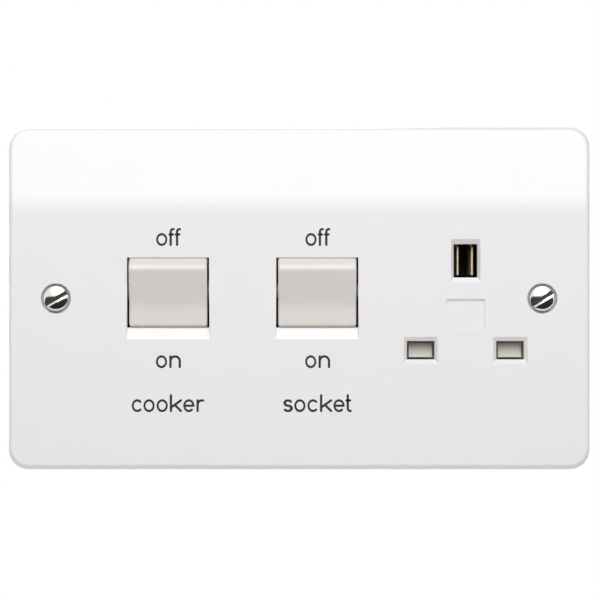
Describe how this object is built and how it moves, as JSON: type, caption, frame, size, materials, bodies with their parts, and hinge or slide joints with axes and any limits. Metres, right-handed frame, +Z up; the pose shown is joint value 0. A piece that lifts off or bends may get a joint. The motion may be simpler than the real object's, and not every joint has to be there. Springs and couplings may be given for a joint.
{
  "type": "cooker control unit",
  "caption": "White flush wall unit with a sloping top, rocker switches for cooker and socket, and a shuttered three-pin socket outlet.",
  "frame": {"origin": "middle of the plate's back rim, on the wall", "axes": "+X right seen from the front, +Y back into the wall, +Z up"},
  "size_m": [0.146, 0.0411, 0.086],
  "materials": {
    "white_moulding": "smooth satin-gloss moulding",
    "rocker_moulding": "smooth satin-gloss moulding",
    "housing_moulding": "fine matt moulding",
    "pale_nylon": "natural nylon",
    "brass": "stamped and machined brass",
    "silver": "silver contact tip",
    "bright_plate": "bright nickel plate",
    "zinc_steel": "clear zinc plate",
    "spring_steel": "drawn spring wire"
  },
  "bodies": {
    "base": {"front_plate": "white_moulding", "rear_housing": "housing_moulding", "fixing_screws": "bright_plate", "housing_screws": "zinc_steel", "fixed_contact_tips": "silver", "supply_live_rail": "brass", "supply_neutral_rail": "brass", "cooker_neutral_bracket": "brass", "cooker_live_bracket": "brass", "outlet_live_strap": "brass", "outlet_neutral_strap": "brass", "earth_bar": "brass", "live_pin_contact": "brass", "neutral_pin_contact": "brass", "earth_pin_contact": "brass", "shutter_spring": "spring_steel", "clamp_screws": "zinc_steel", "supply_neutral_terminal": "brass", "supply_live_terminal": "brass", "supply_earth_terminal": "brass", "cooker_earth_terminal": "brass", "cooker_neutral_terminal": "brass", "cooker_live_terminal": "brass"},
    "cooker_rocker": {"cooker_rocker": "rocker_moulding", "cooker_neutral_spring": "spring_steel", "cooker_live_spring": "spring_steel"},
    "outlet_rocker": {"outlet_rocker": "rocker_moulding", "outlet_live_spring": "spring_steel", "outlet_neutral_spring": "spring_steel"},
    "cooker_plungers": {"cooker_neutral_plunger": "pale_nylon", "cooker_live_plunger": "pale_nylon"},
    "outlet_plungers": {"outlet_live_plunger": "pale_nylon", "outlet_neutral_plunger": "pale_nylon"},
    "cooker_contacts": {"cooker_neutral_contact": "brass", "cooker_live_contact": "brass", "cooker_moving_tips": "silver"},
    "outlet_contacts": {"outlet_live_contact": "brass", "outlet_neutral_contact": "brass", "outlet_moving_tips": "silver"},
    "shutter": {"shutter": "pale_nylon"}
  },
  "joints": [
    {"name": "cooker_rocker_turn", "type": "hinge", "parent": "base", "child": "cooker_rocker", "pos_m": [-0.0325, -0.0045, 0.0019], "axis": [1, 0, 0], "range_deg": [-20, 0]},
    {"name": "outlet_rocker_turn", "type": "hinge", "parent": "base", "child": "outlet_rocker", "pos_m": [0.0045, -0.0045, 0.0019], "axis": [1, 0, 0], "range_deg": [-20, 0]},
    {"name": "cooker_plunger_slide", "type": "slide", "parent": "cooker_rocker", "child": "cooker_plungers", "axis": [0, 0.9848, 0.1736], "range_m": [-0.0015, 0], "stiffness_N_per_m": 1500, "springref_m": 0.001, "deforming": ["cooker_neutral_spring", "cooker_live_spring"]},
    {"name": "cooker_contact_rock", "type": "hinge", "parent": "base", "child": "cooker_contacts", "pos_m": [-0.0325, 0.00816, 0.0019], "axis": [1, 0, 0], "range_deg": [0, 12]},
    {"name": "outlet_plunger_slide", "type": "slide", "parent": "outlet_rocker", "child": "outlet_plungers", "axis": [0, 0.9848, 0.1736], "range_m": [-0.0015, 0], "stiffness_N_per_m": 1500, "springref_m": 0.001, "deforming": ["outlet_live_spring", "outlet_neutral_spring"]},
    {"name": "outlet_contact_rock", "type": "hinge", "parent": "base", "child": "outlet_contacts", "pos_m": [0.0045, 0.00816, 0.0019], "axis": [1, 0, 0], "range_deg": [0, 12]},
    {"name": "shutter_slide", "type": "slide", "parent": "base", "child": "shutter", "axis": [0, 0, -1], "range_m": [0, 0.0056], "stiffness_N_per_m": 150, "springref_m": -0.006, "deforming": ["shutter_spring"]}
  ],
  "couplings": [
    {"joint": "cooker_contact_rock", "follows": "cooker_rocker_turn", "ratio": -0.6},
    {"joint": "outlet_contact_rock", "follows": "outlet_rocker_turn", "ratio": -0.6}
  ]
}
